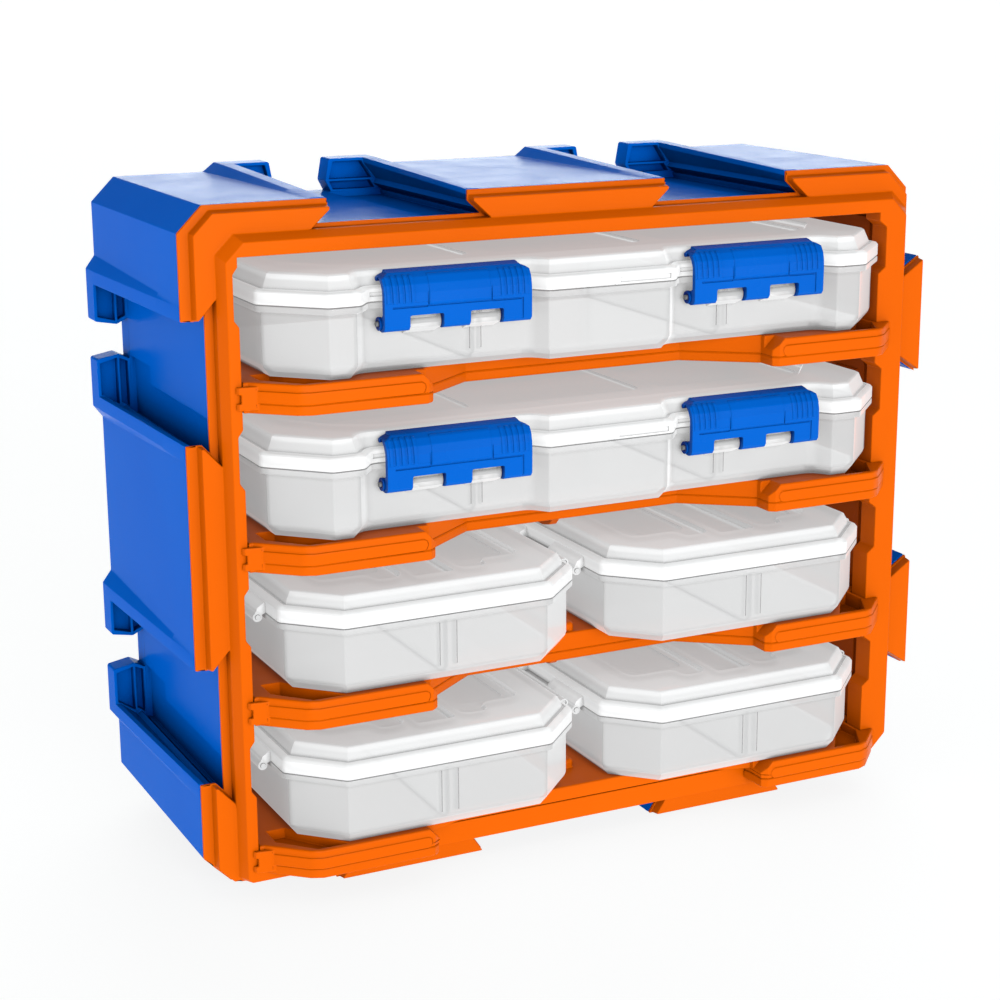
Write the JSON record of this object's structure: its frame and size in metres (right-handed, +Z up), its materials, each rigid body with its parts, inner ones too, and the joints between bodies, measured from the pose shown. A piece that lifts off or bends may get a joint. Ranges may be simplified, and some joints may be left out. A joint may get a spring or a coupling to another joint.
{
  "type": "parts organizer",
  "caption": "Stackable parts organizer: a dovetailed rack whose bays hold slide-out clear compartment cases, some full width with draw latches and some half width with side latches.",
  "frame": {"origin": "middle of the footprint, at the level of the bottom tenons' faces", "axes": "+X to the right seen from the front, +Y towards the back, +Z up; the cases' fronts face -Y"},
  "size_m": [0.3774, 0.16, 0.3124],
  "materials": {
    "shell_blue": "satin moulded",
    "frame_orange": "satin moulded",
    "liner_orange": "matt moulded",
    "latch_blue": "satin moulded",
    "clear_body": "translucent, glossy",
    "clear_lid": "translucent, glossy",
    "pin_grey": "satin",
    "pin_clear": "translucent"
  },
  "bodies": {
    "rack": {"housing": "shell_blue", "front_frame": "frame_orange", "inner_liner": "liner_orange", "shelf_1": "frame_orange", "shelf_2": "frame_orange", "shelf_3": "frame_orange", "floor_tray": "frame_orange"},
    "wide1_case": {"wide1_tray": "clear_body", "wide1_lid": "clear_lid", "wide1_latch_pin_left": "pin_grey", "wide1_hinge_pin_left": "pin_grey", "wide1_divider_left": "clear_body", "wide1_latch_pin_right": "pin_grey", "wide1_hinge_pin_right": "pin_grey", "wide1_divider_right": "clear_body"},
    "wide1_latch_left": {"wide1_latch_left": "latch_blue"},
    "wide1_latch_right": {"wide1_latch_right": "latch_blue"},
    "wide2_case": {"wide2_tray": "clear_body", "wide2_lid": "clear_lid", "wide2_latch_pin_left": "pin_grey", "wide2_hinge_pin_left": "pin_grey", "wide2_divider_left": "clear_body", "wide2_latch_pin_right": "pin_grey", "wide2_hinge_pin_right": "pin_grey", "wide2_divider_right": "clear_body"},
    "wide2_latch_left": {"wide2_latch_left": "latch_blue"},
    "wide2_latch_right": {"wide2_latch_right": "latch_blue"},
    "small1_left_case": {"small1_left_tray": "clear_body", "small1_left_lid": "clear_lid", "small1_left_latch_pin": "pin_clear", "small1_left_hinge_pin": "pin_clear", "small1_left_divider": "clear_body"},
    "small1_left_latch": {"small1_left_latch": "clear_lid"},
    "small1_right_case": {"small1_right_tray": "clear_body", "small1_right_lid": "clear_lid", "small1_right_latch_pin": "pin_clear", "small1_right_hinge_pin": "pin_clear", "small1_right_divider": "clear_body"},
    "small1_right_latch": {"small1_right_latch": "clear_lid"},
    "small2_left_case": {"small2_left_tray": "clear_body", "small2_left_lid": "clear_lid", "small2_left_latch_pin": "pin_clear", "small2_left_hinge_pin": "pin_clear", "small2_left_divider": "clear_body"},
    "small2_left_latch": {"small2_left_latch": "clear_lid"},
    "small2_right_case": {"small2_right_tray": "clear_body", "small2_right_lid": "clear_lid", "small2_right_latch_pin": "pin_clear", "small2_right_hinge_pin": "pin_clear", "small2_right_divider": "clear_body"},
    "small2_right_latch": {"small2_right_latch": "clear_lid"}
  },
  "joints": [
    {"name": "wide1_slide", "type": "slide", "parent": "rack", "child": "wide1_case", "axis": [0, -1, 0], "range_m": [0, 0.14]},
    {"name": "wide1_latch_left_hinge", "type": "hinge", "parent": "wide1_case", "child": "wide1_latch_left", "pos_m": [-0.0723, -0.073, 0.2571], "axis": [1, 0, 0], "range_deg": [0, 100]},
    {"name": "wide1_latch_right_hinge", "type": "hinge", "parent": "wide1_case", "child": "wide1_latch_right", "pos_m": [0.0777, -0.073, 0.2571], "axis": [1, 0, 0], "range_deg": [0, 100]},
    {"name": "wide2_slide", "type": "slide", "parent": "rack", "child": "wide2_case", "axis": [0, -1, 0], "range_m": [0, 0.14]},
    {"name": "wide2_latch_left_hinge", "type": "hinge", "parent": "wide2_case", "child": "wide2_latch_left", "pos_m": [-0.0723, -0.073, 0.1878], "axis": [1, 0, 0], "range_deg": [0, 100]},
    {"name": "wide2_latch_right_hinge", "type": "hinge", "parent": "wide2_case", "child": "wide2_latch_right", "pos_m": [0.0777, -0.073, 0.1878], "axis": [1, 0, 0], "range_deg": [0, 100]},
    {"name": "small1_left_slide", "type": "slide", "parent": "rack", "child": "small1_left_case", "axis": [0, -1, 0], "range_m": [0, 0.14]},
    {"name": "small1_left_latch_hinge", "type": "hinge", "parent": "small1_left_case", "child": "small1_left_latch", "pos_m": [-0.0023, 0, 0.1317], "axis": [0, -1, 0], "range_deg": [0, 14]},
    {"name": "small1_right_slide", "type": "slide", "parent": "rack", "child": "small1_right_case", "axis": [0, -1, 0], "range_m": [0, 0.14]},
    {"name": "small1_right_latch_hinge", "type": "hinge", "parent": "small1_right_case", "child": "small1_right_latch", "pos_m": [0.1557, 0, 0.1317], "axis": [0, -1, 0], "range_deg": [0, 14]},
    {"name": "small2_left_slide", "type": "slide", "parent": "rack", "child": "small2_left_case", "axis": [0, -1, 0], "range_m": [0, 0.14]},
    {"name": "small2_left_latch_hinge", "type": "hinge", "parent": "small2_left_case", "child": "small2_left_latch", "pos_m": [-0.0023, 0, 0.0624], "axis": [0, -1, 0], "range_deg": [0, 14]},
    {"name": "small2_right_slide", "type": "slide", "parent": "rack", "child": "small2_right_case", "axis": [0, -1, 0], "range_m": [0, 0.14]},
    {"name": "small2_right_latch_hinge", "type": "hinge", "parent": "small2_right_case", "child": "small2_right_latch", "pos_m": [0.1557, 0, 0.0624], "axis": [0, -1, 0], "range_deg": [0, 14]}
  ]
}
